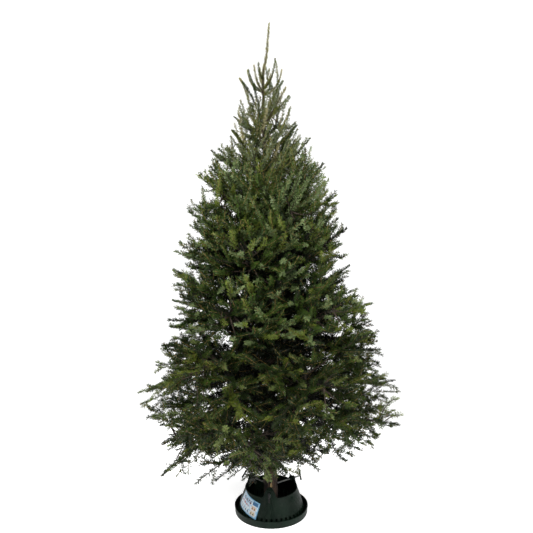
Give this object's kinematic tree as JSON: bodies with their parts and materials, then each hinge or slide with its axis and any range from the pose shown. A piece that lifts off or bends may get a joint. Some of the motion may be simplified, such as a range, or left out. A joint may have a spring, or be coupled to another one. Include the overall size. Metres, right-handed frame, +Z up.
{
  "type": "christmas tree",
  "caption": "Undecorated cut fir Christmas tree with a conical crown and a bare leader, clamped upright in a round plastic water stand.",
  "frame": {"origin": "centre of the stand's flat underside, on the floor", "axes": "+Z up along the trunk, -Y towards the front, +X to the right as seen from the front"},
  "size_m": [1.1946, 1.2111, 2.3],
  "materials": {
    "bark": "rough bark",
    "needles": "waxy needles",
    "top_needles": "waxy needles with silvery undersides",
    "stand_plastic": "moulded, half matt",
    "screw_steel": "zinc plated",
    "label_film": "printed film"
  },
  "bodies": {
    "root": {"stand_tray": "stand_plastic", "stand_skirt": "stand_plastic", "clamp_screw_1": "screw_steel", "clamp_screw_2": "screw_steel", "clamp_screw_3": "screw_steel", "stand_label": "label_film", "trunk": "bark", "bough_1_1": "bark", "foliage_1_1": "needles", "bough_1_2": "bark", "foliage_1_2": "needles", "bough_1_3": "bark", "foliage_1_3": "needles", "bough_1_4": "bark", "foliage_1_4": "needles", "bough_1_5": "bark", "foliage_1_5": "needles", "bough_2_1": "bark", "foliage_2_1": "needles", "bough_2_2": "bark", "foliage_2_2": "needles", "bough_2_3": "bark", "foliage_2_3": "needles", "bough_2_4": "bark", "foliage_2_4": "needles", "bough_2_5": "bark", "foliage_2_5": "needles", "bough_3_1": "bark", "foliage_3_1": "needles", "bough_3_2": "bark", "foliage_3_2": "needles", "bough_3_3": "bark", "foliage_3_3": "needles", "bough_3_4": "bark", "foliage_3_4": "needles", "bough_3_5": "bark", "foliage_3_5": "needles", "foliage_4_1": "needles", "foliage_4_2": "needles", "foliage_4_3": "needles", "foliage_4_4": "needles", "foliage_5_1": "needles", "foliage_5_2": "needles", "foliage_5_3": "needles", "foliage_5_4": "needles", "foliage_6_1": "top_needles", "foliage_6_2": "top_needles", "foliage_6_3": "top_needles", "foliage_6_4": "top_needles", "foliage_7_1": "top_needles", "foliage_7_2": "top_needles", "foliage_7_3": "top_needles", "foliage_leader": "top_needles"}
  },
  "joints": []
}
